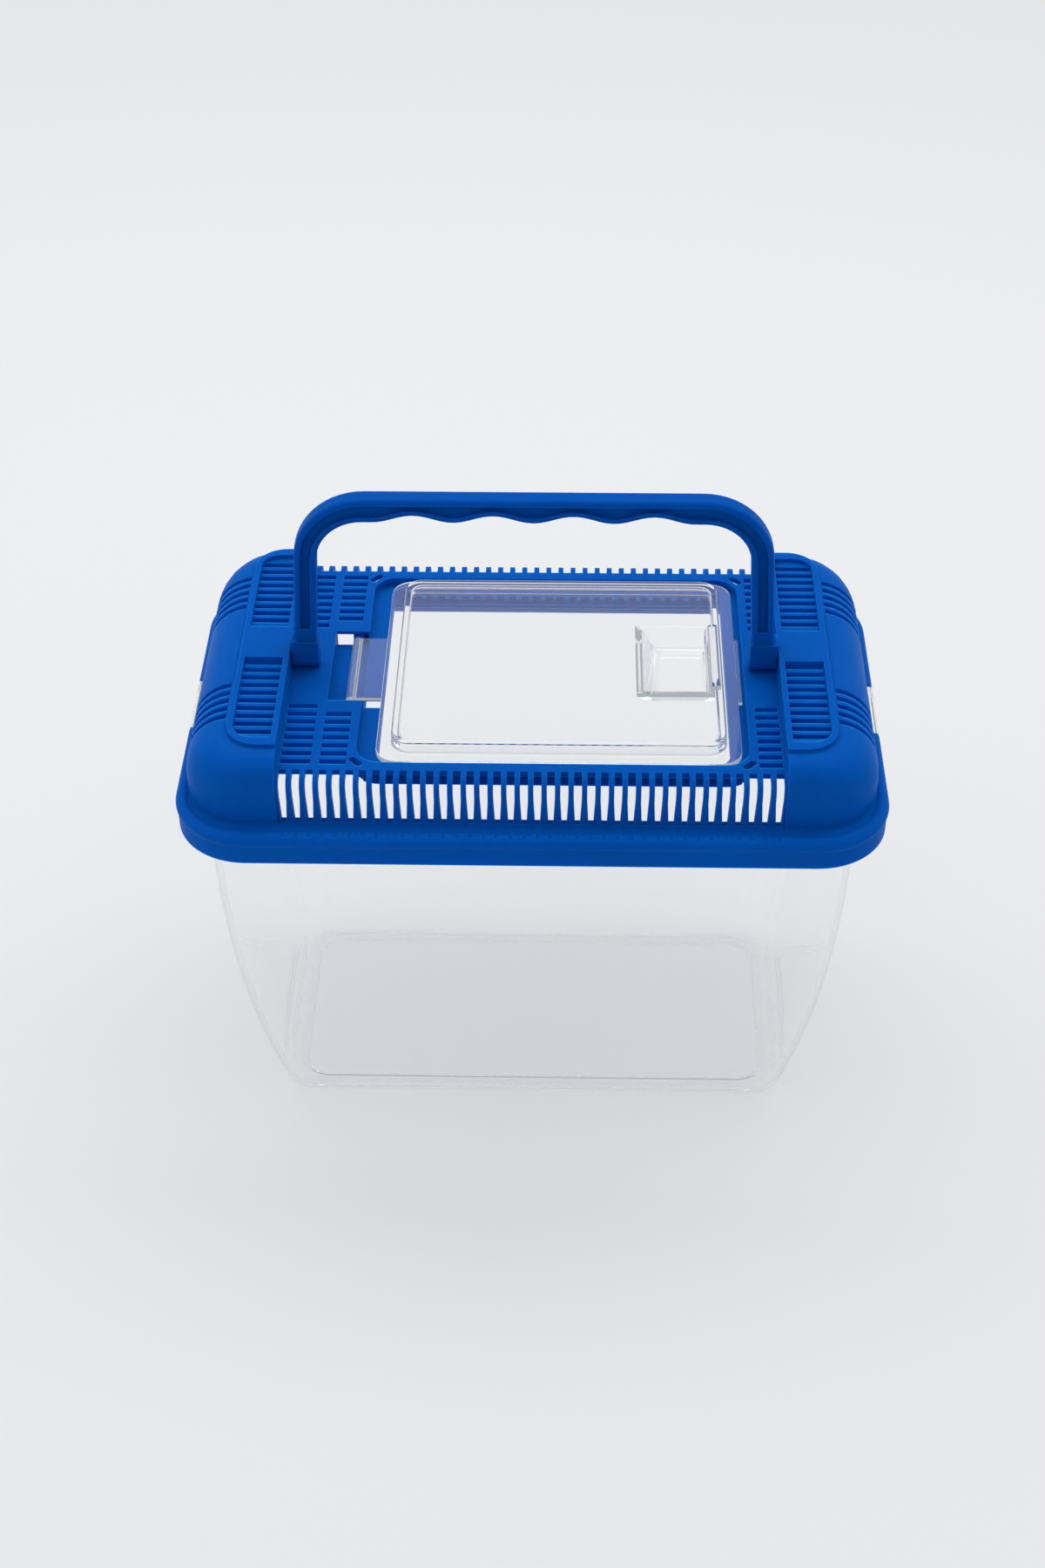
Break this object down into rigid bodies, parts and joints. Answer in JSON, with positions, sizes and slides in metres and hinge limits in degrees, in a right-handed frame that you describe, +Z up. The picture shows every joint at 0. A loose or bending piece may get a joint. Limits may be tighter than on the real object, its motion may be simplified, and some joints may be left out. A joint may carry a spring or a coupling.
{
  "type": "plastic pet keeper",
  "caption": "Small clear plastic pet keeper with a slotted lift-off lid, a clear hinged feeding hatch and a folding carrying handle.",
  "frame": {"origin": "centre of the base, on the surface that the tank stands on", "axes": "+Z up, +X along the length towards the catch end of the hatch, -Y towards the front"},
  "size_m": [0.18, 0.11, 0.1772],
  "materials": {
    "clear_tank": "clear, glossy",
    "blue_lid": "glossy",
    "clear_hatch": "clear, glossy",
    "blue_handle": "glossy"
  },
  "bodies": {
    "tank": {"tank": "clear_tank"},
    "lid": {"lid": "blue_lid"},
    "hatch": {"hatch": "clear_hatch"},
    "handle": {"handle": "blue_handle"}
  },
  "joints": [
    {"name": "lid_lift", "type": "slide", "parent": "tank", "child": "lid", "axis": [0, 0, 1], "range_m": [0, 0.06]},
    {"name": "hatch_hinge", "type": "hinge", "parent": "lid", "child": "hatch", "pos_m": [-0.0468, 0, 0.1232], "axis": [0, -1, 0], "range_deg": [0, 25]},
    {"name": "handle_pivot", "type": "hinge", "parent": "lid", "child": "handle", "pos_m": [0, 0, 0.128], "axis": [1, 0, 0], "range_deg": [-90, 90]}
  ]
}
